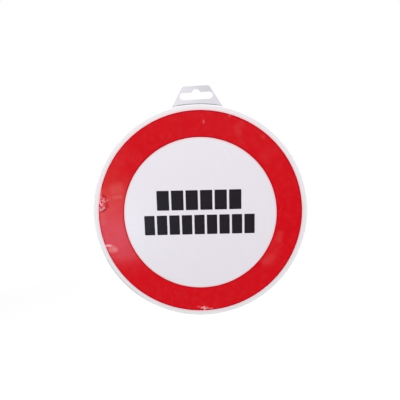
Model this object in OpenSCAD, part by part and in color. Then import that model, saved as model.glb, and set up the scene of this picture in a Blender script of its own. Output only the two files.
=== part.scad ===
// Round warning sign for a fence, a tree or a gate: a rigid plastic plate with a coloured film face,
// and a clear hang tab stuck behind its upper edge.
// The face looks towards -Y, +Z is up, and the origin is the plate's centre at half its thickness.
// All sizes are in millimetres, and angles in degrees.

/* [Plate] */
// Diameter of the round plate
plate_d = 210; // [170:1:400]
// Thickness of the plate
plate_t = 2; // [1:0.1:5]
// Radius round the plate's front and back rims
plate_rim_r = 0.6; // [0.1:0.1:1.5]

/* [Coloured film] */
// Thickness of the red and black film
film_t = 0.1; // [0.05:0.01:0.3]
// White margin between the plate's edge and the red band
margin_w = 5; // [2:0.5:20]
// Width of the red band
band_w = 25; // [5:0.5:35]

/* [Message blocks] */
// Height of the black blocks in both lines
block_h = 19.5; // [8:0.5:30]
// Gap between neighbouring blocks of a line
block_gap = 2.2; // [0.5:0.1:5]
// Radius on the corners of each block
block_corner_r = 0.6; // [0.2:0.1:2]
// Number of blocks in the upper line
upper_count = 6; // [1:1:9]
// Number of blocks in the lower line
lower_count = 9; // [1:1:12]
// Clear space between the two lines
line_gap = 5; // [1:0.5:15]
// White left between each end of the upper line and the red band
upper_side_gap = 29.5; // [5:0.5:40]
// White left between each end of the lower line and the red band
lower_side_gap = 18; // [5:0.5:40]
// Height of the middle of both lines above the plate's centre
message_rise = 2.5; // [-10:0.5:10]
// Offset of both lines to the right of the plate's centre, seen from the front
message_shift = -1; // [-5:0.5:5]

/* [Hang slot] */
// Length of the slot, end to end
slot_w = 31; // [20:0.5:50]
// Height of the slot
slot_h = 6.5; // [5:0.5:10]
// Width of the round notch in the slot's upper edge
notch_d = 8; // [5:0.5:12]
// Height of the notch above the slot's upper edge
notch_rise = 3; // [1:0.1:5]

/* [Hang tab] */
// Thickness of the tab's clear sheet
tab_t = 0.4; // [0.2:0.05:1]
// Sheet left between the plate's edge and the slot
web_below = 4.7; // [2:0.1:15]
// Sheet left between each end of the slot and the leaning side
web_beside = 1.5; // [1:0.1:10]
// Sheet left above the notch
web_above = 2.8; // [1:0.1:10]
// Lean of the tab's sides from upright
side_lean = 31; // [5:1:40]
// Distance below the plate's edge at which the sides turn upright
shoulder_drop = 6; // [3:0.5:15]
// Length of straight tab below the shoulders, behind the plate
tab_lap = 18; // [12:0.5:60]
// Radius on the tab's corners
tab_corner_r = 3; // [1:0.5:5]
// Offset of the tab to the right of the plate's middle, seen from the front
tab_shift = -1.1; // [-10:0.1:10]
// Anticlockwise turn of the tab, seen from the front
tab_turn = 1.8; // [-3:0.1:3]

/* [Adhesive pad] */
// Thickness of the double-sided adhesive between the tab and the plate
pad_t = 0.15; // [0.05:0.05:1]
// Tab left bare round the adhesive's sides and lower edge
pad_border = 2.5; // [1:0.5:6]
// Distance of the adhesive below the plate's edge
pad_drop = 3; // [2:0.5:8]

/* [Hidden] */
$fn = 120;

plate_r = plate_d / 2;
front_y = -plate_t / 2;
back_y = plate_t / 2;
band_outer_r = plate_r - margin_w;
band_inner_r = band_outer_r - band_w;

// The lines are as long as the white field is at their far corners, less the white left at each end
upper_z = message_rise + line_gap / 2;
lower_z = message_rise - line_gap / 2 - block_h;
upper_w = 2 * (half_chord(band_inner_r, upper_z + block_h) - upper_side_gap);
lower_w = 2 * (half_chord(band_inner_r, lower_z) - lower_side_gap);

// Heights on the tab are counted from the plate's edge
slot_rise = web_below + slot_h / 2;
tab_top = slot_rise + slot_h / 2 + notch_rise + web_above;
tab_bottom = -shoulder_drop - tab_lap;
slot_half_w = (slot_w - slot_h) / 2 + (slot_h / 2 + web_beside) / cos(side_lean);
top_half_w = slot_half_w - (tab_top - slot_rise) * tan(side_lean);
tab_half_w = slot_half_w + (slot_rise + shoulder_drop) * tan(side_lean);
tab_front_y = back_y + pad_t;

// The adhesive's upper corners stay below the plate's edge, which falls away to both sides
pad_half_w = tab_half_w - pad_border;
pad_corner_rise = pad_half_w * sin(abs(tab_turn));
pad_top = half_chord(plate_r, pad_half_w + abs(tab_shift)) - plate_r - pad_corner_rise - pad_drop;
pad_bottom = tab_bottom + pad_border;

// Half the width of a circle of radius r at the distance h from its centre
function half_chord(r, h) = sqrt(r * r - h * h);

// Unit vector from a to b
function towards(a, b) = (b - a) / norm(b - a);

// Half the angle between the two sides that meet at b
function half_angle(a, b, c) = acos(towards(b, a) * towards(b, c)) / 2;

// Point on the side from b to a where a corner arc of radius r at b begins
function arc_start(a, b, c, r) = b + towards(b, a) * r / tan(half_angle(a, b, c));

// Centre of the arc of radius r that rounds the corner at b
function arc_centre(a, b, c, r) =
    b + towards([0, 0], towards(b, a) + towards(b, c)) * r / sin(half_angle(a, b, c));

// Convex outline whose corners are rounded with true arcs
module rounded_outline(corners, r) {
    n = len(corners);
    before = [for (i = [0 : n - 1]) corners[(i + n - 1) % n]];
    after = [for (i = [0 : n - 1]) corners[(i + 1) % n]];
    polygon([
        for (i = [0 : n - 1]) each [
            arc_start(before[i], corners[i], after[i], r),
            arc_start(after[i], corners[i], before[i], r)
        ]
    ]);
    for (i = [0 : n - 1])
        translate(arc_centre(before[i], corners[i], after[i], r)) circle(r);
}

// Outline drawn in X and Z, made into a sheet whose back lies at y = rear
module upright_sheet(rear, thickness) {
    translate([0, rear, 0]) rotate([90, 0, 0]) linear_extrude(thickness) children();
}

// Row of equal blocks between z = 0 and block_h, centred on x = 0
module block_line(line_w, count) {
    block_w = (line_w - (count - 1) * block_gap) / count;
    for (i = [0 : count - 1])
        translate([-line_w / 2 + i * (block_w + block_gap), 0])
            rounded_outline([[0, 0], [block_w, 0], [block_w, block_h], [0, block_h]], block_corner_r);
}

// Half of the plate's section, from its centre to its rounded rim
module plate_section() {
    rim_r = min(plate_rim_r, 0.45 * plate_t);
    translate([0, -plate_t / 2]) square([plate_r - rim_r, plate_t]);
    translate([0, rim_r - plate_t / 2]) square([plate_r, plate_t - 2 * rim_r]);
    for (side = [-1, 1])
        translate([plate_r - rim_r, side * (plate_t / 2 - rim_r)]) circle(rim_r);
}

// Hang slot with a round notch in its upper edge, so that the sign centres itself on one hook
module slot_outline() {
    square([slot_w - slot_h, slot_h], center = true);
    for (side = [-1, 1])
        translate([side * (slot_w - slot_h) / 2, 0]) circle(d = slot_h);
    translate([0, slot_h / 2 + notch_rise - notch_d / 2]) circle(d = notch_d);
}

// Tab outline, narrow at its top and full width where it lies behind the plate
module tab_outline() {
    rounded_outline([
        [-tab_half_w, tab_bottom],
        [tab_half_w, tab_bottom],
        [tab_half_w, -shoulder_drop],
        [top_half_w, tab_top],
        [-top_half_w, tab_top],
        [-tab_half_w, -shoulder_drop]
    ], tab_corner_r);
}

// Puts a piece of the tab in its place behind the plate's upper edge
module at_tab() {
    translate([tab_shift, 0, plate_r]) rotate([0, -tab_turn, 0]) children();
}

module sign_plate() {
    color([0.92, 0.91, 0.94])
        rotate([90, 0, 0]) rotate_extrude() plate_section();
}

module red_band() {
    color([0.83, 0.07, 0.13])
        upright_sheet(front_y, film_t) difference() {
            circle(band_outer_r);
            circle(band_inner_r);
        }
}

module upper_blocks() {
    color([0.14, 0.13, 0.15])
        upright_sheet(front_y, film_t)
            translate([message_shift, upper_z]) block_line(upper_w, upper_count);
}

module lower_blocks() {
    color([0.14, 0.13, 0.15])
        upright_sheet(front_y, film_t)
            translate([message_shift, lower_z]) block_line(lower_w, lower_count);
}

module hang_tab() {
    color([0.86, 0.86, 0.89, 0.6])
        at_tab() upright_sheet(tab_front_y + tab_t, tab_t) difference() {
            tab_outline();
            translate([0, slot_rise]) slot_outline();
        }
}

module tab_adhesive() {
    color([0.93, 0.92, 0.86])
        at_tab() upright_sheet(tab_front_y, pad_t)
            translate([-pad_half_w, pad_bottom]) square([2 * pad_half_w, pad_top - pad_bottom]);
}

sign_plate();
red_band();
upper_blocks();
lower_blocks();
hang_tab();
tab_adhesive();
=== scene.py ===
"""Looks of a round prohibition sign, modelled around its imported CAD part.

Everything is in metres in the part's own frame: the face looks towards -Y, +Y points to the wall
behind the sign, +Z is up, and the origin is the centre of the round plate.
"""

import logging
import math
from dataclasses import dataclass, field
from enum import Enum
from functools import partial, reduce

import bmesh
import bpy
from mathutils import Matrix, Vector, noise
from mathutils.geometry import intersect_point_line

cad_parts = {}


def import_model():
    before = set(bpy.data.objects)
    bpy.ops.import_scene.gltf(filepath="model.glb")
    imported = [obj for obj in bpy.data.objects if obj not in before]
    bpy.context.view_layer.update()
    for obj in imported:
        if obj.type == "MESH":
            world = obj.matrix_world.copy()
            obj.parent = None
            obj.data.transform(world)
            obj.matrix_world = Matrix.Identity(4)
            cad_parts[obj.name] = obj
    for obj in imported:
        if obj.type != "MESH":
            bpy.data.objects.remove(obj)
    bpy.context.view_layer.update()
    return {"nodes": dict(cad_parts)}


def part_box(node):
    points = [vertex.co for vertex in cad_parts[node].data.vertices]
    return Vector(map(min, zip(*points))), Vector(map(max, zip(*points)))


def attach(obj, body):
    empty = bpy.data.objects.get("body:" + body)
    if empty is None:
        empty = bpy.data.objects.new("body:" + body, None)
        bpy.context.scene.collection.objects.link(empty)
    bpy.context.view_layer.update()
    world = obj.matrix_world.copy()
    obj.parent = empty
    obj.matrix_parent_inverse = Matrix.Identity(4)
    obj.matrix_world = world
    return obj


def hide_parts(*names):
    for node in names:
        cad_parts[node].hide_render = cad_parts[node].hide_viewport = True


log = logging.getLogger("sign")

MM = 0.001
TOUCH = MM / 1000
BODY = "root"
WHITE = (1.0, 1.0, 1.0, 1.0)
BLACK = (0.0, 0.0, 0.0, 1.0)
FACE = (1.0, 0.0, 1.0)

Colour = tuple[float, float, float, float]
Object = bpy.types.Object
Material = bpy.types.Material
Tree = bpy.types.NodeTree
Node = bpy.types.Node
Socket = bpy.types.NodeSocket
Mesh = bmesh.types.BMesh
Numbers = tuple[float, ...]
Value = float | Numbers | Vector | Socket
Inputs = dict[str | int, Value]


class Slot(Enum):
    """Material slots of the sign's finishes."""

    WHITE_PLATE = "white_plate"
    RED_FILM = "red_film"
    BLACK_FILM = "black_film"
    CLEAR_TAB = "clear_tab"
    ADHESIVE = "adhesive"


class Effect(Enum):
    """Shared surface effects, by the name of their node group."""

    GRAIN = "surface_grain"
    MOTTLE = "colour_mottle"
    SCRATCHES = "fine_scratches"
    PATCH = "oval_patch"
    BAND = "round_band"
    CREASES = "film_creases"
    STROKE = "short_stroke"


class Tone(Enum):
    """How a stroke changes the red film: a raised crest or glint with a pale painted highlight, a sunk
    crease with dark painted shade, a milky spot, or a dull spot with painted shade.
    """

    PALE = "pale"
    DARK = "dark"
    MILKY = "milky"
    DULL = "dull"


def srgb(red: float, green: float, blue: float) -> Colour:
    """Turns a screen colour, each part from 0 to 255, into the linear colour that shaders take."""
    linear = [
        level / 12.92 if level <= 0.04045 else ((level + 0.055) / 1.055) ** 2.4
        for level in (red / 255, green / 255, blue / 255)
    ]
    return (*linear, 1.0)


def on_face(angle: float, radius: float) -> Vector:
    """Finds a point of the face's plane, from degrees anticlockwise from +X and a radius."""
    turn = math.radians(angle)
    return Vector((radius * math.cos(turn), 0.0, radius * math.sin(turn)))


class Wiring:
    """Adds and joins the nodes of one node tree."""

    def __init__(self, tree: Tree) -> None:
        """Keeps the tree that the nodes go into."""
        self.tree = tree

    def find(self, kind: str) -> Node:
        """Finds the tree's own node of a type."""
        return next(node for node in self.tree.nodes if node.type == kind)

    def add(self, kind: str, values: Inputs | None = None, **settings: object) -> Node:
        """Adds one node and fills its inputs.

        Args:
            kind: the node's type.
            values: numbers, colours or output sockets, by the name or number of the input.
            settings: the node's own properties.

        Returns:
            The new node.
        """
        node = self.tree.nodes.new(kind)
        for name, setting in settings.items():
            setattr(node, name, setting)
        self.fill(node, values or {})
        return node

    def fill(self, node: Node, values: Inputs) -> None:
        """Links output sockets to a node's inputs, or sets the inputs' own values.

        Args:
            node: the node.
            values: numbers, colours or output sockets, by the name or number of the input.
        """
        for key, value in values.items():
            if isinstance(value, Socket):
                self.tree.links.new(value, node.inputs[key])
            else:
                node.inputs[key].default_value = value

    def math(self, operation: str, first: Value, second: Value = 0.0) -> Socket:
        """Adds a Math node and returns its result."""
        return self.add("ShaderNodeMath", {0: first, 1: second}, operation=operation).outputs[0]

    def product(self, *numbers: Value) -> Socket:
        """Multiplies numbers."""
        return reduce(partial(self.math, "MULTIPLY"), numbers)

    def total(self, *numbers: Value) -> Socket:
        """Adds numbers up."""
        return reduce(partial(self.math, "ADD"), numbers)

    def less(self, first: Value, second: Value) -> Socket:
        """Takes the second number from the first."""
        return self.math("SUBTRACT", first, second)

    def apart(self, first: Value, second: Value) -> Socket:
        """Measures how far apart two numbers are."""
        return self.math("ABSOLUTE", self.less(first, second))

    def dot(self, first: Value, second: Value) -> Socket:
        """Returns the dot product of two vectors."""
        node = self.add("ShaderNodeVectorMath", {0: first, 1: second}, operation="DOT_PRODUCT")
        return node.outputs["Value"]

    def vector(self, operation: str, first: Value, second: Value = (0.0, 0.0, 0.0)) -> Socket:
        """Adds a Vector Math node and returns its vector."""
        node = self.add("ShaderNodeVectorMath", {0: first, 1: second}, operation=operation)
        return node.outputs["Vector"]

    def scaled(self, vector: Value, factor: Value) -> Socket:
        """Multiplies a vector by a number."""
        node = self.add("ShaderNodeVectorMath", {0: vector, "Scale": factor}, operation="SCALE")
        return node.outputs["Vector"]

    def length(self, vector: Value) -> Socket:
        """Returns the length of a vector."""
        return self.add("ShaderNodeVectorMath", {0: vector}, operation="LENGTH").outputs["Value"]

    def turned(self, vector: Value, angle: Value) -> Socket:
        """Turns a vector round the Y axis by an angle in radians."""
        inputs = {"Vector": vector, "Axis": (0.0, 1.0, 0.0), "Angle": angle}
        return self.add("ShaderNodeVectorRotate", inputs, rotation_type="AXIS_ANGLE").outputs[0]

    def noise(self, vector: Value, scale: Value, detail: Value, output: int | str = 0) -> Socket:
        """Returns a noise that swings round 0.5, with scale in waves a metre."""
        inputs = {"Vector": vector, "Scale": scale, "Detail": detail}
        return self.add("ShaderNodeTexNoise", inputs).outputs[output]

    def ramp(
        self, value: Value, start: Value, end: Value, low: Value = 0.0, high: Value = 1.0
    ) -> Socket:
        """Turns a value into another smoothly.

        Args:
            value: the value to turn.
            start, end: the values that give low and high.
            low, high: the results at start and end, kept beyond them.

        Returns:
            The result's socket.
        """
        inputs = {"Value": value, "From Min": start, "From Max": end, "To Min": low, "To Max": high}
        node = self.add("ShaderNodeMapRange", inputs, interpolation_type="SMOOTHSTEP", clamp=False)
        return node.outputs[0]

    def blend(self, share: Value, base: Value, top: Value, how: str = "MIX") -> Socket:
        """Lays one colour over another and returns the result."""
        mix = self.add("ShaderNodeMix", {0: share, 6: base, 7: top}, data_type="RGBA", blend_type=how)
        return mix.outputs[2]

    def tinted(self, colour: Value, shade: Value) -> Socket:
        """Multiplies a colour by a factor."""
        grey = self.add("ShaderNodeCombineColor", {"Red": shade, "Green": shade, "Blue": shade})
        return self.blend(1.0, colour, grey.outputs[0], how="MULTIPLY")

    def place(self) -> Socket:
        """Returns the Object coordinates, which are the part's own frame."""
        return self.add("ShaderNodeTexCoord").outputs["Object"]

    def along(self, axis: str) -> Socket:
        """Returns one of the Object coordinates, X, Y or Z."""
        return self.add("ShaderNodeSeparateXYZ", {0: self.place()}).outputs[axis]

    def radius(self) -> Socket:
        """Returns the distance from the axis through the plate's centre."""
        return self.length(self.vector("MULTIPLY", self.place(), FACE))

    def put(self, effect: Effect, **values: Value) -> Socket:
        """Places a shared effect, whose inputs are named with _ for each space."""
        inputs = {name.replace("_", " ").title(): value for name, value in values.items()}
        return self.add("ShaderNodeGroup", inputs, node_tree=bpy.data.node_groups[effect.value]).outputs[0]

    def relief(self, shader: Node, height: Value, strength: float, distance: float) -> None:
        """Gives a shader a bump, with the distance that a height of 1 stands for."""
        bump = self.add("ShaderNodeBump", {"Strength": strength, "Distance": distance, "Height": height})
        self.fill(shader, {"Normal": bump.outputs[0]})

    def surface(self, share: Value, first: Node, second: Node, output: Node) -> None:
        """Gives an output node a mix of two shaders."""
        mix = self.add("ShaderNodeMixShader", {0: share, 1: first.outputs[0], 2: second.outputs[0]})
        self.fill(output, {"Surface": mix.outputs[0]})

    def end(self, result: Socket) -> None:
        """Gives a node group its result."""
        self.add("NodeGroupOutput", {0: result})

    def seen(self) -> Socket:
        """Tells what the camera sees from other light.

        Returns:
            1 for what it sees, straight, mirrored or through a clear piece, and 0 for the rest.
        """
        path = self.add("ShaderNodeLightPath")
        shown = self.math("MAXIMUM", path.outputs["Is Camera Ray"], path.outputs["Is Glossy Ray"])
        return self.math("MAXIMUM", shown, path.outputs["Is Transmission Ray"])


@dataclass(frozen=True)
class Effects:
    """Builds each shared surface effect once, as a node group that materials place by its name."""

    mottle_detail: float = 3.0
    scratch_stretch: Numbers = (1.0, 1.0, 0.04)
    scratch_detail: float = 2.0
    scratch_width: float = 0.006
    scratch_patches: float = 22.0
    scratch_least: float = 0.75
    scratch_edge: float = 0.08
    crease_sway: float = 2.5 * MM
    crease_sway_scale: float = 0.6
    crease_width: float = 0.22

    def build(self) -> None:
        """Makes every group."""
        self._grain()
        self._mottle()
        self._scratches()
        self._patch()
        self._band()
        self._creases()
        self._stroke()

    @staticmethod
    def _group(
        effect: Effect, *numbers: str, vectors: tuple[str, ...] = ()
    ) -> tuple[Wiring, dict[str, Socket]]:
        """Starts a node group whose only output is a number.

        Args:
            effect: the effect that names the group.
            numbers: the names of the inputs that are numbers.
            vectors: the names of the inputs that are vectors.

        Returns:
            The group's wiring, and its inputs by name.
        """
        tree = bpy.data.node_groups.new(effect.value, "ShaderNodeTree")
        for name in (*numbers, *vectors):
            kind = "NodeSocketVector" if name in vectors else "NodeSocketFloat"
            tree.interface.new_socket(name=name, in_out="INPUT", socket_type=kind)
        tree.interface.new_socket(name="Result", in_out="OUTPUT", socket_type="NodeSocketFloat")
        wiring = Wiring(tree)
        entry = wiring.add("NodeGroupInput")
        return wiring, {name: entry.outputs[name] for name in (*numbers, *vectors)}

    @staticmethod
    def _faded(wiring: Wiring, away: Socket, given: dict[str, Socket]) -> Socket:
        """Makes a mask that is 1 up to Half Width away, and falls to 0 over Softness."""
        outer = wiring.total(given["Half Width"], given["Softness"])
        return wiring.ramp(away, given["Half Width"], outer, 1.0, 0.0)

    def _grain(self) -> None:
        """Makes a soft grain, for bump heights: Scale is in grains for each metre."""
        wiring, given = self._group(Effect.GRAIN, "Scale", "Detail")
        wiring.end(wiring.noise(wiring.place(), given["Scale"], given["Detail"]))

    def _mottle(self) -> None:
        """Makes a factor round 1 that a colour is multiplied by: Spread is how far it strays."""
        wiring, given = self._group(Effect.MOTTLE, "Scale", "Spread")
        swing = wiring.less(wiring.noise(wiring.place(), given["Scale"], self.mottle_detail), 0.5)
        wiring.end(wiring.total(wiring.product(swing, 2.0, given["Spread"]), 1.0))

    def _scratches(self) -> None:
        """Makes a mask of hairlines: Turn is their direction in radians, and Amount how many show."""
        wiring, given = self._group(Effect.SCRATCHES, "Scale", "Turn", "Amount")
        turned = wiring.turned(wiring.place(), given["Turn"])
        stretched = wiring.vector("MULTIPLY", turned, self.scratch_stretch)
        middle = wiring.apart(wiring.noise(stretched, given["Scale"], self.scratch_detail), 0.5)
        hairline = wiring.ramp(middle, 0.0, self.scratch_width, 1.0, 0.0)
        where = wiring.noise(wiring.place(), self.scratch_patches, detail=1.0)
        least = wiring.less(self.scratch_least, wiring.product(given["Amount"], 0.5))
        shown = wiring.ramp(where, least, wiring.total(least, self.scratch_edge))
        wiring.end(wiring.product(hairline, shown))

    def _patch(self) -> None:
        """Makes a soft oval mask on the face: Half Size is measured along its own turned axes."""
        names = ("Centre", "Half Size")
        wiring, given = self._group(Effect.PATCH, "Turn", "Softness", vectors=names)
        offset = wiring.vector("SUBTRACT", wiring.place(), given["Centre"])
        turned = wiring.turned(offset, given["Turn"])
        reach = wiring.length(wiring.vector("DIVIDE", turned, given["Half Size"]))
        wiring.end(wiring.ramp(reach, wiring.less(1.0, given["Softness"]), 1.0, 1.0, 0.0))

    def _band(self) -> None:
        """Makes a soft mask of a circle line round the plate's centre."""
        wiring, given = self._group(Effect.BAND, "Radius", "Half Width", "Softness")
        away = wiring.apart(wiring.radius(), given["Radius"])
        wiring.end(self._faded(wiring, away, given))

    def _creases(self) -> None:
        """Makes sharp bent creases, for the painted highlights on their crests and for bump heights: Scale
        is in creases a metre.
        """
        wiring, given = self._group(Effect.CREASES, "Scale")
        slow = wiring.product(given["Scale"], self.crease_sway_scale)
        sway = wiring.noise(wiring.place(), slow, detail=2.0, output="Color")
        bent = wiring.vector("ADD", wiring.place(), wiring.scaled(sway, self.crease_sway))
        inputs = {"Vector": bent, "Scale": given["Scale"]}
        cells = wiring.add("ShaderNodeTexVoronoi", inputs, feature="DISTANCE_TO_EDGE")
        wiring.end(wiring.ramp(cells.outputs["Distance"], 0.0, self.crease_width, 1.0, 0.0))

    def _stroke(self) -> None:
        """Makes a soft mask of a straight stroke on the face, from Start to End.

        No clamp option is used here: Cycles works clamps out last of all, and would then have to
        keep the middle results of every stroke at once, for which it has no room.
        """
        names = ("Start", "End")
        wiring, given = self._group(Effect.STROKE, "Half Width", "Softness", vectors=names)
        flat = wiring.vector("MULTIPLY", wiring.place(), FACE)
        offset = wiring.vector("SUBTRACT", flat, given["Start"])
        run = wiring.vector("SUBTRACT", given["End"], given["Start"])
        share = wiring.math("DIVIDE", wiring.dot(offset, run), wiring.dot(run, run))
        share = wiring.math("MINIMUM", wiring.math("MAXIMUM", share, 0.0), 1.0)
        away = wiring.length(wiring.vector("SUBTRACT", offset, wiring.scaled(run, share)))
        wiring.end(self._faded(wiring, away, given))


@dataclass(frozen=True)
class Pucker:
    """A patch of crinkled film, measured round the ring and across it."""

    angle: float
    radius: float
    half_along: float
    half_across: float
    height: float
    crease: float

    @property
    def centre(self) -> Vector:
        """Middle of the patch on the face."""
        return on_face(self.angle, self.radius)

    def reach(self, point: Vector) -> float:
        """Measures how far out of the patch a point lies.

        Args:
            point: any point on the face.

        Returns:
            0 at the patch's middle and 1 at its edge.
        """
        offset = Vector((point.x, 0.0, point.z)) - self.centre
        outwards = self.centre.normalized()
        across = offset.dot(outwards)
        along = offset.dot(Vector((-outwards.z, 0.0, outwards.x)))
        return math.hypot(along / self.half_along, across / self.half_across)

    def lift(self, point: Vector) -> float:
        """Gives the height of the creases at a point, from 0 to the patch's own height."""
        ridge = 1.0 - abs(noise.noise(point / self.crease))
        return self.height * max(0.0, 1.0 - self.reach(point) ** 2) * ridge ** 4


@dataclass(frozen=True)
class Stroke:
    """A short stroke on the red film: a painted highlight or painted shade along a crease, a painted
    glint, a milky spot or a dull spot.
    """

    start: Vector
    end: Vector
    half_width: float
    softness: float
    strength: float
    tone: Tone

    def cover(self, point: Vector) -> float:
        """Measures how fully the stroke covers a point.

        Args:
            point: any point on the face.

        Returns:
            1 on the stroke, falling to 0 past its soft edge.
        """
        flat = Vector((point.x, 0.0, point.z))
        nearest, share = intersect_point_line(flat, self.start, self.end)
        if not 0.0 <= share <= 1.0:
            nearest = self.start if share < 0.0 else self.end
        away = (flat - nearest).length - self.half_width
        return min(1.0, max(0.0, 1.0 - away / self.softness))

    def mask(self, wiring: Wiring) -> Socket:
        """Makes the stroke's mask for the shader, already at its own strength."""
        inputs = {name: getattr(self, name) for name in ("start", "end", "half_width", "softness")}
        return wiring.product(wiring.put(Effect.STROKE, **inputs), self.strength)


def strokes(tone: Tone, rows: tuple[Numbers, ...]) -> tuple[Stroke, ...]:
    """Makes strokes from rows of numbers.

    Args:
        tone: what they all do to the film.
        rows: x and z of the start, x and z of the end, half the width and the softness, all in
            millimetres on the face, and the strength.

    Returns:
        One stroke for each row.
    """
    return tuple(
        Stroke(
            start=Vector((row[0], 0.0, row[1])) * MM,
            end=Vector((row[2], 0.0, row[3])) * MM,
            half_width=row[4] * MM,
            softness=row[5] * MM,
            strength=row[6],
            tone=tone,
        )
        for row in rows
    )


PUCKERS = (
    Pucker(
        angle=173.0,
        radius=96.8 * MM,
        half_along=9.0 * MM,
        half_across=4.2 * MM,
        height=0.05 * MM,
        crease=1.6 * MM,
    ),
    Pucker(
        angle=271.4,
        radius=97.2 * MM,
        half_along=5.5 * MM,
        half_across=2.6 * MM,
        height=0.05 * MM,
        crease=1.4 * MM,
    ),
)

# Painted shade: dark strokes in the sunk creases of the crinkled patches.
DARK_ROWS = (
    (-96.8, 15.1, -96.1, 14.6, 0.2, 0.6, 0.6),
    (-96.8, 18.3, -96.3, 17.8, 0.2, 0.6, 0.6),
    (-95.0, 19.6, -94.2, 19.0, 0.2, 0.8, 0.45),
    (-89.8, 16.5, -89.2, 15.2, 0.3, 0.9, 0.18),
    (-97.1, 23.3, -97.0, 22.7, 0.2, 0.5, 0.4),
    (-96.3, 26.4, -96.2, 25.9, 0.2, 0.5, 0.35),
    (-98.4, 12.9, -98.6, 10.7, 0.2, 0.6, 0.55),
    (-97.9, 10.6, -97.5, 9.5, 0.2, 0.5, 0.75),
    (-97.1, 8.9, -96.5, 8.3, 0.2, 0.5, 0.75),
    (-98.8, 5.7, -98.8, 3.5, 0.2, 0.6, 0.55),
    (-95.4, 5.4, -93.0, 7.7, 0.4, 0.9, 0.35),
    (-96.4, 23.6, -96.4, 21.6, 0.15, 0.6, 0.4),
    (-0.7, -98.7, 1.1, -97.5, 0.2, 0.5, 0.6),
    (2.8, -99.2, 6.0, -99.3, 0.2, 0.5, 0.7),
    (6.5, -99.2, 11.0, -99.0, 0.2, 0.5, 0.5),
)
# Painted highlights: pale strokes along raised crease crests, and painted glints on the film.
PALE_ROWS = (
    (-96.5, 28.2, -97.2, 23.4, 0.35, 0.6, 0.5),
    (-97.2, 22.5, -97.5, 18.2, 0.28, 0.55, 0.5),
    (-95.7, 28.6, -96.2, 18.4, 0.2, 0.7, 0.13),
    (-97.9, 20.6, -98.2, 14.6, 0.3, 0.6, 0.45),
    (-96.9, 20.1, -96.2, 19.2, 0.2, 0.6, 0.3),
    (-96.1, 16.8, -95.2, 16.0, 0.2, 0.5, 0.35),
    (-94.4, 18.5, -93.4, 18.1, 0.2, 0.5, 0.45),
    (-88.6, 17.0, -88.3, 16.4, 0.15, 0.6, 0.2),
    (-97.5, 16.7, -97.3, 15.5, 0.225, 0.48, 0.43),
    (-98.7, 17.2, -98.6, 13.8, 0.25, 0.5, 0.6),
    (-94.6, 17.5, -94.2, 16.3, 0.18, 0.48, 0.52),
    (-95.7, 16.1, -95.3, 15.2, 0.18, 0.4, 0.43),
    (-93.7, 15.9, -92.8, 14.4, 0.2, 0.5, 0.6),
    (-90.8, 16.9, -90.4, 16.0, 0.15, 0.48, 0.42),
    (-97.5, 13.7, -97.0, 11.6, 0.35, 0.5, 0.95),
    (-95.8, 13.8, -94.9, 13.6, 0.135, 0.4, 0.38),
    (-96.0, 12.3, -95.4, 11.5, 0.18, 0.4, 0.47),
    (-95.2, 9.6, -93.8, 8.9, 0.225, 0.48, 0.4),
    (-99.2, 6.7, -97.1, 7.1, 0.22, 0.5, 0.62),
    (-96.6, 7.3, -93.6, 9.1, 0.25, 0.5, 0.7),
    (-98.8, 9.3, -98.0, 8.7, 0.2, 0.5, 0.68),
    (-1.2, -97.6, 2.2, -95.9, 0.25, 0.7, 0.5),
    (0.3, -96.9, 4.4, -98.0, 0.4, 0.8, 0.55),
    (1.6, -97.5, 2.2, -99.7, 0.3, 0.6, 0.75),
    (6.3, -97.8, 10.6, -98.1, 0.15, 0.6, 0.4),
    (-4.8, -95.6, -1.2, -96.6, 0.2, 1.0, 0.15),
    (-94.8, -29.2, -90.6, -29.2, 0.4, 1.3, 0.72),
    (-90.0, -29.6, -87.6, -29.8, 0.1, 1.6, 0.2),
    (5.1, 90.2, 5.1, 88.0, 0.3, 0.8, 0.19),
    (29.2, 94.4, 30.2, 93.6, 0.3, 0.8, 0.14),
)
# Milky strokes; the first two, at the lower left, are painted highlights.
MILKY_ROWS = (
    (-90.6, -33.4, -86.0, -33.5, 0.9, 3.4, 0.19),
    (-87.6, -32.4, -86.0, -32.8, 0.3, 2.6, 0.1),
    (-83.4, 27.6, -78.6, 28.6, 0.5, 7.0, 0.05),
    (-84.0, 19.2, -77.5, 19.8, 0.2, 2.8, 0.07),
    (35.9, 83.1, 40.6, 86.2, 0.9, 4.0, 0.024),
    (37.9, 78.8, 40.2, 68.5, 0.8, 3.6, 0.012),
    (35.1, 78.0, 39.3, 78.3, 0.8, 3.0, 0.012),
    (60.4, 74.2, 61.5, 73.1, 0.6, 2.2, 0.034),
    (63.2, 55.8, 67.9, 59.5, 2.5, 6.0, 0.01),
    (77.4, -26.4, 78.5, -21.1, 0.8, 4.8, 0.034),
    (64.4, -48.6, 70.4, -44.6, 0.8, 5.4, 0.032),
    (73.8, -33.3, 66.9, -49.7, 3.0, 8.0, 0.012),
    (-74.5, 62.7, -89.1, 44.0, 4.5, 8.0, 0.011),
    (-67.7, 56.4, -62.9, 64.8, 0.4, 0.9, 0.01),
    (-65.2, 54.0, -59.9, 63.7, 0.4, 0.9, 0.014),
    (-62.4, 51.8, -57.3, 61.6, 0.4, 0.9, 0.013),
    (-59.4, 50.4, -54.9, 59.1, 0.4, 0.9, 0.01),
    (-79.7, -41.7, -70.6, -40.3, 1.8, 5.0, 0.02),
    (-96.1, 3.6, -95.5, -5.0, 1.2, 3.0, 0.033),
)
# Dull spots: rougher film, whose colour is also darkened by painted shade.
DULL_ROWS = (
    (-94.2, 21.4, -92.3, 19.6, 0.6, 1.2, 0.9),
    (-92.5, 13.3, -91.4, 10.3, 0.9, 1.6, 1.0),
    (-95.6, 5.4, -93.4, 8.2, 0.6, 1.2, 1.0),
    (-92.2, 17.6, -91.2, 18.4, 0.3, 0.9, 0.5),
)
STROKES = (
    *strokes(Tone.DARK, DARK_ROWS),
    *strokes(Tone.PALE, PALE_ROWS),
    *strokes(Tone.MILKY, MILKY_ROWS),
    *strokes(Tone.DULL, DULL_ROWS),
)


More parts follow.
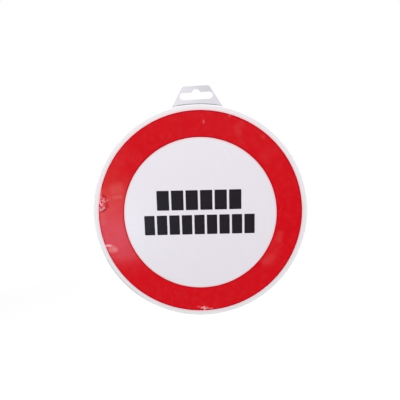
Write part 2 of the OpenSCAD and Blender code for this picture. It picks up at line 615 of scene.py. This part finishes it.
@dataclass(frozen=True)
class RoundLine:
    """A thin soft line of colour round the plate's centre."""

    radius: float
    half_width: float
    softness: float
    share: float
    colour: Colour

    def mask(self, wiring: Wiring) -> Socket:
        """Makes the line's mask, already at its own share."""
        inputs = {name: getattr(self, name) for name in ("radius", "half_width", "softness")}
        return wiring.product(wiring.put(Effect.BAND, **inputs), self.share)


@dataclass(frozen=True)
class PlateFinish:
    """Rigid white sheet: satin face, duller back, a painted highlight along the rounded edge, painted
    shade on the rim at the lower left, and pink where it meets the red.
    """

    colour: Colour = srgb(233, 228, 235)
    margin: Colour = srgb(233, 230, 233)
    margin_start: float = 100.7 * MM
    halo: Colour = srgb(255, 196, 200)
    front_lines: tuple[RoundLine, ...] = (
        RoundLine(100.7 * MM, 0.4 * MM, 0.6 * MM, 0.8, halo),
        RoundLine(74.3 * MM, 0.4 * MM, 0.6 * MM, 0.8, halo),
        # Painted highlight: a near-white line along the face's rounded rim.
        RoundLine(105.0 * MM, 0.5 * MM, 0.5 * MM, 0.7, srgb(250, 248, 251)),
    )
    # Painted shade: a grey arc on the rim at the lower left.
    shade: RoundLine = RoundLine(104.1 * MM, 0.2 * MM, 0.6 * MM, 0.7, srgb(188, 190, 192))
    shade_angle: float = 219.0
    shade_ends: Numbers = (96.81 * MM, 103.06 * MM)
    scratched: Colour = srgb(205, 201, 208)
    scratch_share: float = 0.03
    scratch_roughness: float = 0.06
    face_roughness: float = 0.26
    back_roughness: float = 0.48
    back_depth: float = 0.7 * MM
    back_grain: float = 2.0

    def make(self) -> Material:
        """Builds the material.

        Returns:
            The material.
        """
        material, wiring, shader = new_material(Slot.WHITE_PLATE.value)
        behind = wiring.ramp(wiring.along("Y"), 0.0, self.back_depth)
        front = wiring.less(1.0, behind)
        outside = wiring.ramp(wiring.radius(), self.margin_start, self.margin_start + MM)
        colour = wiring.blend(outside, self.colour, self.margin)
        colour = wiring.tinted(colour, wiring.put(Effect.MOTTLE, scale=18.0, spread=0.012))
        for line in self.front_lines:
            share = wiring.product(line.mask(wiring), front)
            colour = wiring.blend(share, colour, line.colour)
        # Painted shade on the rim at the lower left, on the face only.
        reach = wiring.dot(wiring.place(), on_face(self.shade_angle, 1.0))
        ends = wiring.ramp(reach, *self.shade_ends)
        shaded = wiring.product(self.shade.mask(wiring), ends, front)
        colour = wiring.blend(shaded, colour, self.shade.colour)
        scratches = wiring.put(Effect.SCRATCHES, scale=160.0, turn=0.5, amount=0.5)
        colour = wiring.blend(wiring.product(scratches, self.scratch_share), colour, self.scratched)
        roughness = wiring.ramp(behind, 0.0, 1.0, self.face_roughness, self.back_roughness)
        worn = wiring.total(roughness, wiring.product(scratches, self.scratch_roughness))
        wiring.fill(shader, {"Base Color": colour, "Roughness": worn})

        face = wiring.put(Effect.GRAIN, scale=420.0, detail=1.0)
        back = wiring.put(Effect.GRAIN, scale=2600.0, detail=3.0)
        height = wiring.total(face, wiring.product(back, behind, self.back_grain))
        wiring.relief(shader, height, strength=0.5, distance=0.02 * MM)
        return material


@dataclass(frozen=True)
class RedFinish:
    """Glossy signal red film with crinkled patches, painted highlights and painted shade along its
    creases, painted glints, a painted reflection on its left side, and a darker bead of ink at its edges.
    """

    colour: Colour = srgb(210, 13, 26)
    pale: Colour = srgb(255, 178, 188)
    reflection_pink: Colour = srgb(226, 112, 116)
    dark: Colour = srgb(128, 10, 34)
    milky: Colour = srgb(255, 195, 194)
    bead: Colour = srgb(132, 12, 44)
    beads: tuple[RoundLine, ...] = (
        RoundLine(99.4 * MM, 0.25 * MM, 0.6 * MM, 0.7, bead),
        RoundLine(75.6 * MM, 0.25 * MM, 0.6 * MM, 0.7, bead),
    )
    roughness: float = 0.15
    cloud_fade: Numbers = (0.4, 0.75)
    cloud_share: float = 0.012
    painted_reflection_share: float = 0.12
    veil_roughness: float = 0.08
    veil_angle: float = 186.0
    veil_radius: float = 90.0 * MM
    veil_half: Numbers = (22.0 * MM, 1.0, 44.0 * MM)
    veil_stretch: Numbers = (1.0, 1.0, 2.6)
    veil_streaks: float = 60.0
    veil_fade: Numbers = (0.35, 0.7)
    crest_highlight_share: float = 0.18
    dull_shade_share: float = 0.22
    dull_roughness: float = 0.8
    scratch_roughness: float = 0.15
    peel_height: float = 0.02
    wave_height: float = 0.1
    puckers: tuple[Pucker, ...] = PUCKERS
    strokes: tuple[Stroke, ...] = STROKES

    def make(self) -> Material:
        """Builds the material.

        Returns:
            The material.
        """
        material, wiring, shader = new_material(Slot.RED_FILM.value)
        colour = wiring.tinted(self.colour, wiring.put(Effect.MOTTLE, scale=45.0, spread=0.05))
        colour = wiring.tinted(colour, wiring.put(Effect.MOTTLE, scale=260.0, spread=0.04))
        for line in self.beads:
            colour = wiring.blend(line.mask(wiring), colour, line.colour)
        cloud = wiring.ramp(wiring.put(Effect.GRAIN, scale=190.0, detail=3.0), *self.cloud_fade)
        colour = wiring.blend(wiring.product(cloud, self.cloud_share), colour, self.milky)
        # Painted reflection: a paler pink over the streaky stretch on the ring's left side, where a soft
        # lamp is mirrored.
        reflection_veil = self._reflection_veil(wiring)
        colour = wiring.blend(wiring.product(reflection_veil, self.painted_reflection_share), colour, self.reflection_pink)
        # Painted highlight: pale pink along the crests of the creases in the crinkled patches.
        crests = self._crests(wiring)
        colour = wiring.blend(wiring.product(crests, self.crest_highlight_share), colour, self.pale)

        # Pale strokes paint highlights and dark ones paint shade; milky strokes lay milky spots; dull
        # spots gather for roughness and painted shade.
        dull: Value = 0.0
        tones = {Tone.PALE: self.pale, Tone.DARK: self.dark, Tone.MILKY: self.milky}
        for stroke in self.strokes:
            mask = stroke.mask(wiring)
            if stroke.tone is Tone.DULL:
                dull = wiring.math("MAXIMUM", dull, mask)
            else:
                colour = wiring.blend(mask, colour, tones[stroke.tone])
        # Painted shade: the dull spots' colour darkens towards the dark red.
        colour = wiring.blend(wiring.product(dull, self.dull_shade_share), colour, self.dark)

        scratches = wiring.put(Effect.SCRATCHES, scale=130.0, turn=-0.6, amount=0.55)
        worn = wiring.total(
            wiring.product(reflection_veil, self.veil_roughness),
            wiring.product(scratches, self.scratch_roughness),
            wiring.product(dull, self.dull_roughness),
            self.roughness,
        )
        wiring.fill(shader, {"Base Color": colour, "Roughness": worn})

        peel = wiring.put(Effect.GRAIN, scale=330.0, detail=1.0)
        wave = wiring.put(Effect.GRAIN, scale=55.0, detail=2.0)
        height = wiring.total(
            wiring.product(peel, self.peel_height), wiring.product(wave, self.wave_height), crests
        )
        wiring.relief(shader, height, strength=0.6, distance=0.12 * MM)
        return material

    def _reflection_veil(self, wiring: Wiring) -> Socket:
        """Makes the mask of the streaky stretch on the ring's left side, where a painted reflection
        lightens the red and the film is rougher.

        Args:
            wiring: the material's wiring.

        Returns:
            The mask's socket.
        """
        centre = on_face(self.veil_angle, self.veil_radius)
        oval = {"centre": centre, "half_size": self.veil_half, "turn": 0.12, "softness": 0.5}
        stretch = wiring.put(Effect.PATCH, **oval)
        stretched = wiring.vector("MULTIPLY", wiring.place(), self.veil_stretch)
        streaks = wiring.noise(stretched, self.veil_streaks, detail=3.0)
        return wiring.product(stretch, wiring.ramp(streaks, *self.veil_fade))

    def _crests(self, wiring: Wiring) -> Socket:
        """Makes the mask of the creases' crests inside all the crinkled patches, for their painted
        highlight and their bump.

        Args:
            wiring: the material's wiring.

        Returns:
            The mask's socket.
        """
        inside: Value = 0.0
        for pucker in self.puckers:
            half = (pucker.half_across, 1.0, pucker.half_along)
            turn = math.radians(pucker.angle)
            oval = {"centre": pucker.centre, "half_size": half, "turn": turn, "softness": 0.6}
            inside = wiring.math("MAXIMUM", inside, wiring.put(Effect.PATCH, **oval))
        return wiring.product(inside, wiring.put(Effect.CREASES, scale=420.0))


@dataclass(frozen=True)
class BlackFinish:
    """Satin near-black print."""

    colour: Colour = srgb(39, 34, 40)
    roughness: float = 0.3
    scratch_roughness: float = 0.15
    gloss: float = 0.3

    def make(self) -> Material:
        """Builds the material.

        Returns:
            The material.
        """
        material, wiring, shader = new_material(Slot.BLACK_FILM.value)
        shade = wiring.put(Effect.MOTTLE, scale=180.0, spread=0.16)
        scratches = wiring.put(Effect.SCRATCHES, scale=150.0, turn=0.9, amount=0.5)
        worn = wiring.total(self.roughness, wiring.product(scratches, self.scratch_roughness))
        colour = wiring.tinted(self.colour, shade)
        wiring.fill(shader, {"Base Color": colour, "Roughness": worn, "Specular IOR Level": self.gloss})
        peel = wiring.put(Effect.GRAIN, scale=500.0, detail=1.0)
        wiring.relief(shader, peel, strength=0.4, distance=0.01 * MM)
        return material


@dataclass(frozen=True)
class TabFinish:
    """Clear sheet, with a painted darker reflection above the slot, darker towards the right, and a
    painted contact shadow along the plate's edge.

    Where something fades, its numbers are where that starts and ends, and its values there.
    """

    clear: Colour = srgb(237, 234, 241)
    darker_tint: Colour = srgb(212, 209, 216)
    contact_shadow: Colour = srgb(132, 138, 143)
    backed: Colour = srgb(253, 252, 254)
    shadow_tint: Colour = srgb(252, 252, 253)
    roughness: float = 0.05
    scratch_roughness: float = 0.2
    ior: float = 1.53
    shadow_line_centre: Vector = Vector((-1.0 * MM, 0.0, -34.0 * MM))
    shadow_line_radius: float = 139.75 * MM
    shadow_line_fade: Numbers = (0.2 * MM, 0.6 * MM, 0.75, 0.0)
    shadow_line_left: Numbers = (-21.5 * MM, -17.5 * MM, 0.25, 1.0)
    shadow_line_right: Numbers = (16.0 * MM, 20.0 * MM, 1.0, 0.3)
    shadow_line_corner: Numbers = (-25.5 * MM, -23.5 * MM, 1.0, 0.0)
    top: Numbers = (115.4 * MM, 117.4 * MM)
    sides: Numbers = (-14.0 * MM, 8.0 * MM)
    right_darkening: float = 0.35
    top_darkening: Numbers = (0.15, 0.5)
    cloud: Numbers = (0.3, 0.7, 0.5, 1.0)
    plate_edge: Numbers = (103.4 * MM, 104.4 * MM)

    def make(self) -> Material:
        """Builds the material, which lets lamps and soft light straight through.

        Returns:
            The material.
        """
        material, wiring, shader = new_material(Slot.CLEAR_TAB.value)
        # Painted reflection: a darker grey across the top above the slot, broken up by cloud; the tint
        # also darkens towards the right.
        top = wiring.ramp(wiring.along("Z"), *self.top)
        side = wiring.ramp(wiring.along("X"), *self.sides)
        cloud = wiring.ramp(wiring.put(Effect.GRAIN, scale=160.0, detail=2.0), *self.cloud)
        above = wiring.product(top, wiring.ramp(side, 0.0, 1.0, *self.top_darkening), cloud)
        darkening = wiring.total(wiring.product(side, self.right_darkening), above)
        colour = wiring.blend(darkening, self.clear, self.darker_tint)
        # Painted shadow: a dark line on the tab where it leaves the plate's edge.
        colour = wiring.blend(self._contact_shadow_line(wiring), colour, self.contact_shadow)
        # Painted light: where the tab lies on the plate's back its tint goes almost white, making up for
        # light lost in the clear sheet there.
        lap = wiring.ramp(wiring.radius(), *self.plate_edge, 1.0, 0.0)
        colour = wiring.blend(lap, colour, self.backed)
        scratches = wiring.put(Effect.SCRATCHES, scale=220.0, turn=0.2, amount=0.8)
        worn = wiring.total(self.roughness, wiring.product(scratches, self.scratch_roughness))
        wiring.fill(shader, {"Base Color": colour, "Roughness": worn})
        wiring.fill(shader, {"Transmission Weight": 1.0, "IOR": self.ior})
        wave = wiring.put(Effect.GRAIN, scale=90.0, detail=1.0)
        wiring.relief(shader, wave, strength=0.6, distance=0.15 * MM)

        path = wiring.add("ShaderNodeLightPath")
        soft = wiring.math("MAXIMUM", path.outputs["Is Shadow Ray"], path.outputs["Is Diffuse Ray"])
        through = wiring.add("ShaderNodeBsdfTransparent", {"Color": self.shadow_tint})
        wiring.surface(soft, shader, through, wiring.find("OUTPUT_MATERIAL"))
        return material

    def _contact_shadow_line(self, wiring: Wiring) -> Socket:
        """Makes the mask of the painted contact shadow just above the plate's edge, which bends less than
        that edge.

        Args:
            wiring: the material's wiring.

        Returns:
            The socket of the mask, which thins out at both sides.
        """
        offset = wiring.vector("SUBTRACT", wiring.place(), self.shadow_line_centre)
        reach = wiring.length(wiring.vector("MULTIPLY", offset, FACE))
        line = wiring.ramp(wiring.apart(reach, self.shadow_line_radius), *self.shadow_line_fade)
        left = wiring.ramp(wiring.along("X"), *self.shadow_line_left)
        right = wiring.ramp(wiring.along("X"), *self.shadow_line_right)
        corner = wiring.ramp(wiring.along("X"), *self.shadow_line_corner)
        return wiring.product(line, wiring.math("MAXIMUM", wiring.product(left, right), corner))


@dataclass(frozen=True)
class AdhesiveFinish:
    """Milky transfer adhesive with small trapped bubbles."""

    colour: Colour = srgb(243, 241, 233)
    bubble: Colour = srgb(250, 249, 246)
    bubble_scale: float = 240.0
    bubble_edge: Numbers = (0.16, 0.3)
    roughness: float = 0.55
    bubble_roughness: float = 0.2

    def make(self) -> Material:
        """Builds the material.

        Returns:
            The material.
        """
        material, wiring, shader = new_material(Slot.ADHESIVE.value)
        shade = wiring.put(Effect.MOTTLE, scale=300.0, spread=0.05)
        inputs = {"Vector": wiring.place(), "Scale": self.bubble_scale}
        cells = wiring.add("ShaderNodeTexVoronoi", inputs)
        bubbles = wiring.ramp(cells.outputs["Distance"], *self.bubble_edge, 1.0, 0.0)
        colour = wiring.blend(bubbles, wiring.tinted(self.colour, shade), self.bubble)
        roughness = wiring.ramp(bubbles, 0.0, 1.0, self.roughness, self.bubble_roughness)
        wiring.fill(shader, {"Base Color": colour, "Roughness": roughness})
        wiring.relief(shader, bubbles, strength=0.6, distance=0.05 * MM)
        return material


def new_material(name: str) -> tuple[Material, Wiring, Node]:
    """Starts a material.

    Args:
        name: its name, which for the sign's own finishes is one of the slots.

    Returns:
        The material, its wiring and its Principled node.
    """
    material = bpy.data.materials.new(name)
    material.use_nodes = True
    wiring = Wiring(material.node_tree)
    return material, wiring, wiring.find("BSDF_PRINCIPLED")


def arc(centre: Vector, radius: float, start: float, end: float, steps: int) -> list[Vector]:
    """Gives the points of an arc in the XY plane, both ends included, with its angles in degrees."""
    turns = (math.radians(start + (end - start) * step / steps) for step in range(steps + 1))
    return [centre + radius * Vector((math.cos(turn), math.sin(turn), 0.0)) for turn in turns]


def spun(section: list[Vector], turns: int, closed: bool) -> Mesh:
    """Spins a section round the Y axis.

    Args:
        section: its points, with the radius along X.
        turns: how many steps a full turn has.
        closed: whether its last point joins its first.

    Returns:
        The mesh with its faces pointing outwards.
    """
    mesh = bmesh.new()
    points = [mesh.verts.new(point) for point in section]
    lines = [mesh.edges.new(pair) for pair in zip(points, points[1:])]
    if closed:
        lines.append(mesh.edges.new((points[-1], points[0])))
    round_y = {"cent": (0, 0, 0), "axis": (0, 1, 0), "angle": math.tau}
    bmesh.ops.spin(mesh, geom=points + lines, steps=turns, use_merge=True, **round_y)
    bmesh.ops.remove_doubles(mesh, verts=mesh.verts, dist=TOUCH)
    bmesh.ops.recalc_face_normals(mesh, faces=mesh.faces)
    return mesh


def placed(name: str, mesh: Mesh, material: Material) -> Object:
    """Puts a finished mesh into the scene.

    Args:
        name: the object's name.
        mesh: its mesh, in place.
        material: its finish.

    Returns:
        The object.
    """
    data = bpy.data.meshes.new(name)
    mesh.to_mesh(data)
    mesh.free()
    data.materials.append(material)
    thing = bpy.data.objects.new(name, data)
    bpy.context.scene.collection.objects.link(thing)
    return thing


def settle(piece: Object, node: str, sharp: float) -> Object:
    """Makes a piece stand for a CAD node.

    Args:
        piece: the piece, in place.
        node: the CAD node that it replaces.
        sharp: the angle in degrees past which an edge shows as sharp.

    Returns:
        The piece.
    """
    piece.data.set_sharp_from_angle(angle=math.radians(sharp))
    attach(piece, BODY)
    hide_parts(node)
    return piece


@dataclass
class SignPlate:
    """The rigid round plate, with true round rims."""

    material: Material
    node: str = "sign_plate"
    rim_radius: float = 0.6 * MM
    rim_steps: int = 6
    turns: int = 480
    flat: float = 0.999

    def build(self) -> Object:
        """Spins the plate's half section and dresses it.

        Returns:
            The plate.
        """
        low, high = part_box(self.node)
        reach = high.x - self.rim_radius
        front = arc(Vector((reach, low.y + self.rim_radius, 0)), self.rim_radius, -90, 0, self.rim_steps)
        back = arc(Vector((reach, high.y - self.rim_radius, 0)), self.rim_radius, 0, 90, self.rim_steps)
        section = [Vector((0, low.y, 0)), *front, *back, Vector((0, high.y, 0))]
        mesh = spun(section, self.turns, closed=False)
        for face in mesh.faces:
            face.smooth = abs(face.normal.y) < self.flat
        plate = placed("round_plate", mesh, self.material)
        return settle(plate, self.node, sharp=60)


@dataclass
class RedBand:
    """The ring of red film, with crinkles raised in its surface near the outer edge."""

    material: Material
    node: str = "red_band"
    width: float = 25.0 * MM
    edge_slope: float = 0.06 * MM
    room: float = 0.05 * MM
    turns: int = 720
    lanes: int = 24
    splits: int = 3
    sink: float = 0.03 * MM
    puckers: tuple[Pucker, ...] = PUCKERS
    strokes: tuple[Stroke, ...] = STROKES
    near: float = 1.2
    forward: float = -0.9
    lifts: dict[Tone, float] = field(
        default_factory=lambda: {Tone.PALE: 0.05 * MM, Tone.DARK: -0.05 * MM}
    )

    def build(self) -> Object:
        """Spins the film's section, refines and raises the crinkles, and dresses it.

        Returns:
            The ring.
        """
        low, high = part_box(self.node)
        outer = high.x
        inner = outer - self.width
        top = low.y + self.room
        first, last = inner + self.edge_slope, outer - self.edge_slope
        lanes = [first + (last - first) * lane / self.lanes for lane in range(self.lanes + 1)]
        face = [Vector((x, top, 0)) for x in lanes]
        section = [Vector((inner, high.y, 0)), *face, Vector((outer, high.y, 0))]
        mesh = spun(section, self.turns, closed=True)
        for pucker in self.puckers:
            self._refine(mesh, pucker)
            self._raise(mesh, pucker, top)
        for face in mesh.faces:
            face.smooth = True
        ring = placed("red_ring_film", mesh, self.material)
        return settle(ring, self.node, sharp=40)

    def _refine(self, mesh: Mesh, pucker: Pucker) -> None:
        """Splits the face's quads inside a crinkled patch.

        Args:
            mesh: the film's mesh.
            pucker: the patch.
        """
        inside = [
            face
            for face in mesh.faces
            if face.normal.y < self.forward and pucker.reach(face.calc_center_median()) < 1.0
        ]
        lines = list({line for face in inside for line in face.edges})
        bmesh.ops.subdivide_edges(mesh, edges=lines, cuts=self.splits, use_grid_fill=True)

    def _raise(self, mesh: Mesh, pucker: Pucker, top: float) -> None:
        """Raises the creases of one patch, and sinks the dark ones.

        Args:
            mesh: the film's mesh.
            pucker: the patch.
            top: y of the film's smooth surface.
        """
        near = [stroke for stroke in self.strokes if pucker.reach(stroke.start) < self.near]
        for vertex in mesh.verts:
            if abs(vertex.co.y - top) > TOUCH or pucker.reach(vertex.co) > 1.0:
                continue
            lift = pucker.lift(vertex.co)
            for stroke in near:
                lift += self.lifts.get(stroke.tone, 0.0) * stroke.cover(vertex.co)
            vertex.co.y = top - min(self.room, max(-self.sink, lift))


@dataclass
class HangTab:
    """The clear hang tab, with chamfered edges."""

    sheet: Object
    material: Material
    node: str = "hang_tab"
    chamfer: float = 0.05 * MM
    rim_angle: float = 80.0

    def build(self) -> Object:
        """Copies the CAD sheet, chamfers its rims and dresses it.

        Returns:
            The tab.
        """
        mesh = bmesh.new()
        mesh.from_mesh(self.sheet.data)
        bmesh.ops.remove_doubles(mesh, verts=mesh.verts, dist=TOUCH)
        rims = [line for line in mesh.edges if self._is_rim(line)]
        cut = {"offset": self.chamfer, "segments": 1, "profile": 0.5}
        bmesh.ops.bevel(mesh, geom=rims, affect="EDGES", material=-1, **cut)
        tab = placed("clear_hang_tab", mesh, self.material)
        return settle(tab, self.node, sharp=30)

    def _is_rim(self, line: bmesh.types.BMEdge) -> bool:
        """Tells whether an edge lies where a flat side of the sheet meets its cut edge."""
        steep = line.is_manifold and line.calc_face_angle() > math.radians(self.rim_angle)
        return steep and abs((line.verts[0].co - line.verts[1].co).normalized().y) < 0.5


@dataclass(frozen=True)
class Lamp:
    """A soft square lamp that looks at the sign, and is itself unseen."""

    name: str
    place: Vector
    size: float
    watts: float

    def build(self) -> None:
        """Adds the lamp to the scene."""
        data = bpy.data.lights.new(self.name, "AREA")
        data.size = self.size
        data.energy = self.watts
        lamp = bpy.data.objects.new(self.name, data)
        aim = self.place.to_track_quat("Z", "Y").to_matrix().to_4x4()
        lamp.matrix_world = Matrix.Translation(self.place) @ aim
        lamp.visible_camera = False
        lamp.visible_glossy = False
        lamp.visible_transmission = False
        bpy.context.scene.collection.objects.link(lamp)


@dataclass(frozen=True)
class SoftPanel:
    """The soft panel at the front left that the gloss of the ring's left side mirrors.

    Where its glow fades, the numbers are where that starts and ends, and the values there.
    """

    centre: Numbers = (-0.215, -0.45, -0.05)
    half: Numbers = (0.1, 0.15)
    sides: Numbers = (0.6, 1.0, 1.0, 0.0)
    lean: Numbers = (0.08, 0.0, 1.0)
    foot: Numbers = (-0.21, -0.163)
    body: Numbers = (-0.105, -0.068, 0.37, 0.0)
    head: Numbers = (-0.034, 0.009, 0.58, 0.0)
    tail: Numbers = (0.01, 0.095, 0.08, 0.0)
    tail_side: Numbers = (-0.19, -0.14, 1.0, 0.0)
    turn: Numbers = (-0.12, -0.01)
    stretch: Numbers = (1.0, 1.0, 2.5)
    streak_scale: float = 22.0
    streaks: Numbers = (0.3, 0.7, 0.84, 1.14)
    glow: float = 2.75
    cool: Colour = (0.52, 0.78, 1.06, 1.0)
    warm: Colour = (0.62, 0.78, 0.62, 1.0)

    def build(self) -> None:
        """Stands the panel in its place."""
        mesh = bmesh.new()
        bmesh.ops.create_grid(mesh, x_segments=1, y_segments=1, size=1.0)
        bmesh.ops.scale(mesh, verts=mesh.verts, vec=(*self.half, 1.0))
        upright = Matrix.Rotation(math.pi / 2, 3, "X")
        bmesh.ops.rotate(mesh, verts=mesh.verts, cent=(0, 0, 0), matrix=upright)
        bmesh.ops.translate(mesh, verts=mesh.verts, vec=self.centre)
        mirrored("soft_panel", mesh, self._finish())

    def _finish(self) -> Material:
        """Makes the panel's glow, which lets through what lies behind it.

        Returns:
            The material.
        """
        material, wiring, _ = new_material("soft_panel")
        wiring.tree.nodes.clear()
        offset = wiring.vector("SUBTRACT", wiring.place(), self.centre)
        reach = wiring.vector("DIVIDE", offset, (self.half[0], 1.0, self.half[1]))
        across = wiring.add("ShaderNodeSeparateXYZ", {0: wiring.vector("ABSOLUTE", reach)}).outputs["X"]
        body = wiring.ramp(wiring.along("Z"), *self.body)
        head = wiring.ramp(wiring.along("Z"), *self.head)
        tail = wiring.ramp(wiring.along("Z"), *self.tail)
        outer = wiring.ramp(wiring.along("X"), *self.tail_side)
        stretched = wiring.vector("MULTIPLY", wiring.place(), self.stretch)
        glow = wiring.product(
            self.glow,
            wiring.ramp(across, *self.sides),
            wiring.ramp(wiring.dot(wiring.place(), self.lean), *self.foot),
            wiring.total(body, head, wiring.product(tail, outer)),
            wiring.ramp(wiring.noise(stretched, self.streak_scale, detail=3.0), *self.streaks),
        )
        turn = wiring.ramp(wiring.along("Z"), *self.turn)
        colour = wiring.blend(turn, self.cool, self.warm)
        light = wiring.add("ShaderNodeEmission", {"Color": colour, "Strength": glow})
        clear = wiring.add("ShaderNodeBsdfTransparent")
        both = wiring.add("ShaderNodeAddShader", {0: light.outputs[0], 1: clear.outputs[0]})
        wiring.add("ShaderNodeOutputMaterial", {"Surface": both.outputs[0]})
        return material


@dataclass
class Studio:
    """Camera, lights, pale floor and white surroundings."""

    distance: float = 371.4 * MM
    elevation: float = 10.06
    azimuth: float = 0.26
    roll: float = 1.34
    focal_pixels: float = 376.3
    image_pixels: float = 400.0
    sensor: float = 36.0
    centre_pixel: Numbers = (200.4, 214.65)
    world_light: float = 0.95
    floor_radius: float = 6.0
    floor_drop: float = 0.16
    floor_base: float = 0.35
    floor_glow: float = 0.56
    floor_fade: Numbers = (0.3, 1.2)
    floor_roughness: float = 0.9
    card_lift: float = 0.005
    card_start: float = 0.05
    card_reach: float = 0.8
    card_depth: float = 0.55
    card_top: float = 0.8
    card_colour: Colour = (0.01, 0.01, 0.01, 1.0)
    lamps: tuple[Lamp, ...] = (
        Lamp("key_lamp", Vector((-0.55, -0.75, 0.85)), 0.6, 7.7),
        Lamp("fill_lamp", Vector((0.85, -0.85, -0.05)), 0.7, 3.0),
        Lamp("back_lamp", Vector((0.35, 0.9, 0.6)), 0.7, 6.0),
    )

    def build(self) -> None:
        """Sets up everything that isn't part of the sign."""
        bpy.context.scene.view_settings.view_transform = "Standard"
        self._camera()
        self._world()
        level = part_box("sign_plate")[0].z - self.floor_drop
        self._floor(level)
        self._card(level + self.card_lift)
        SoftPanel().build()
        for lamp in self.lamps:
            lamp.build()

    def _camera(self) -> None:
        """Places the camera at the photograph's viewing angle."""
        data = bpy.data.cameras.new("camera")
        data.sensor_width = self.sensor
        data.lens = self.sensor * self.focal_pixels / self.image_pixels
        middle = self.image_pixels / 2
        data.shift_x = (middle - self.centre_pixel[0]) / self.image_pixels
        data.shift_y = (self.centre_pixel[1] - middle) / self.image_pixels
        data.clip_start = 0.01
        camera = bpy.data.objects.new("camera", data)
        turn, rise = math.radians(self.azimuth), math.radians(self.elevation)
        back = Vector((math.sin(turn) * math.cos(rise), -math.cos(turn) * math.cos(rise), math.sin(rise)))
        aim = back.to_track_quat("Z", "Y").to_matrix().to_4x4()
        tilt = Matrix.Rotation(math.radians(-self.roll), 4, "Z")
        camera.matrix_world = Matrix.Translation(back * self.distance) @ aim @ tilt
        bpy.context.scene.collection.objects.link(camera)
        bpy.context.scene.camera = camera

    def _world(self) -> None:
        """Makes the world white to look at and a soft light on the sign."""
        world = bpy.data.worlds.new("studio")
        world.use_nodes = True
        bpy.context.scene.world = world
        wiring = Wiring(world.node_tree)
        light = wiring.find("BACKGROUND")
        wiring.fill(light, {"Color": WHITE, "Strength": self.world_light})
        white = wiring.add("ShaderNodeBackground", {"Color": WHITE, "Strength": 1.0})
        wiring.surface(wiring.seen(), light, white, wiring.find("OUTPUT_WORLD"))

    def _floor(self, level: float) -> None:
        """Lays the pale floor below the hanging sign, white to look at and darker only in shadow.

        Args:
            level: its height.
        """
        mesh = bmesh.new()
        bmesh.ops.create_circle(mesh, cap_ends=True, radius=self.floor_radius, segments=64)
        bmesh.ops.translate(mesh, verts=mesh.verts, vec=(0, 0, level))
        material, wiring, shader = new_material("pale_floor")
        across = wiring.length(wiring.vector("MULTIPLY", wiring.place(), (1.0, 1.0, 0.0)))
        far = wiring.ramp(across, *self.floor_fade)
        base = wiring.blend(far, (*[self.floor_base] * 3, 1.0), BLACK)
        glow = wiring.product(wiring.ramp(far, 0.0, 1.0, self.floor_glow, 1.0), wiring.seen())
        wiring.fill(shader, {"Base Color": base, "Emission Color": WHITE, "Emission Strength": glow})
        wiring.fill(shader, {"Roughness": self.floor_roughness, "Specular IOR Level": 0.0})
        placed("floor", mesh, material)

    def _card(self, level: float) -> None:
        """Bends a dark card round the front that only reflections see, so that the gloss stays deep.

        Args:
            level: the height of its foot.
        """
        mesh = bmesh.new()
        profile = ((self.card_start, level), (self.card_depth, level), (self.card_depth, self.card_top))
        corners = [mesh.verts.new((-self.card_reach, -y, z)) for y, z in profile]
        lines = [mesh.edges.new(pair) for pair in zip(corners, corners[1:])]
        grown = bmesh.ops.extrude_edge_only(mesh, edges=lines)["geom"]
        moved = [part for part in grown if isinstance(part, bmesh.types.BMVert)]
        bmesh.ops.translate(mesh, verts=moved, vec=(2 * self.card_reach, 0, 0))
        material, wiring, shader = new_material("dark_card")
        inputs = {"Base Color": self.card_colour, "Roughness": 1.0, "Specular IOR Level": 0.0}
        wiring.fill(shader, inputs)
        mirrored("dark_card", mesh, material)


def mirrored(name: str, mesh: Mesh, material: Material) -> None:
    """Adds a studio card that only reflections see.

    Args:
        name: the card's name.
        mesh: its mesh, in place.
        material: its finish.
    """
    card = placed(name, mesh, material)
    card.visible_camera = False
    card.visible_diffuse = False
    card.visible_transmission = False
    card.visible_volume_scatter = False
    card.visible_shadow = False


def dress(node: Object, material: Material) -> None:
    """Gives a CAD node that stays as it is its finish."""
    node.data.materials.clear()
    node.data.materials.append(material)


def main() -> None:
    """Builds the studio and each piece of the sign, in order."""
    logging.basicConfig(level=logging.INFO, format="%(name)s: %(message)s")
    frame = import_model()
    nodes = frame["nodes"]
    Effects().build()
    Studio().build()
    log.info("studio ready")
    log.info("built %s", SignPlate(PlateFinish().make()).build().name)
    log.info("built %s", RedBand(RedFinish().make()).build().name)
    log.info("built %s", HangTab(nodes["hang_tab"], TabFinish().make()).build().name)
    black = BlackFinish().make()
    for name in ("upper_blocks", "lower_blocks"):
        dress(nodes[name], black)
        log.info("dressed %s", name)
    dress(nodes["tab_adhesive"], AdhesiveFinish().make())
    log.info("dressed tab_adhesive")


if __name__ == "__main__":
    main()
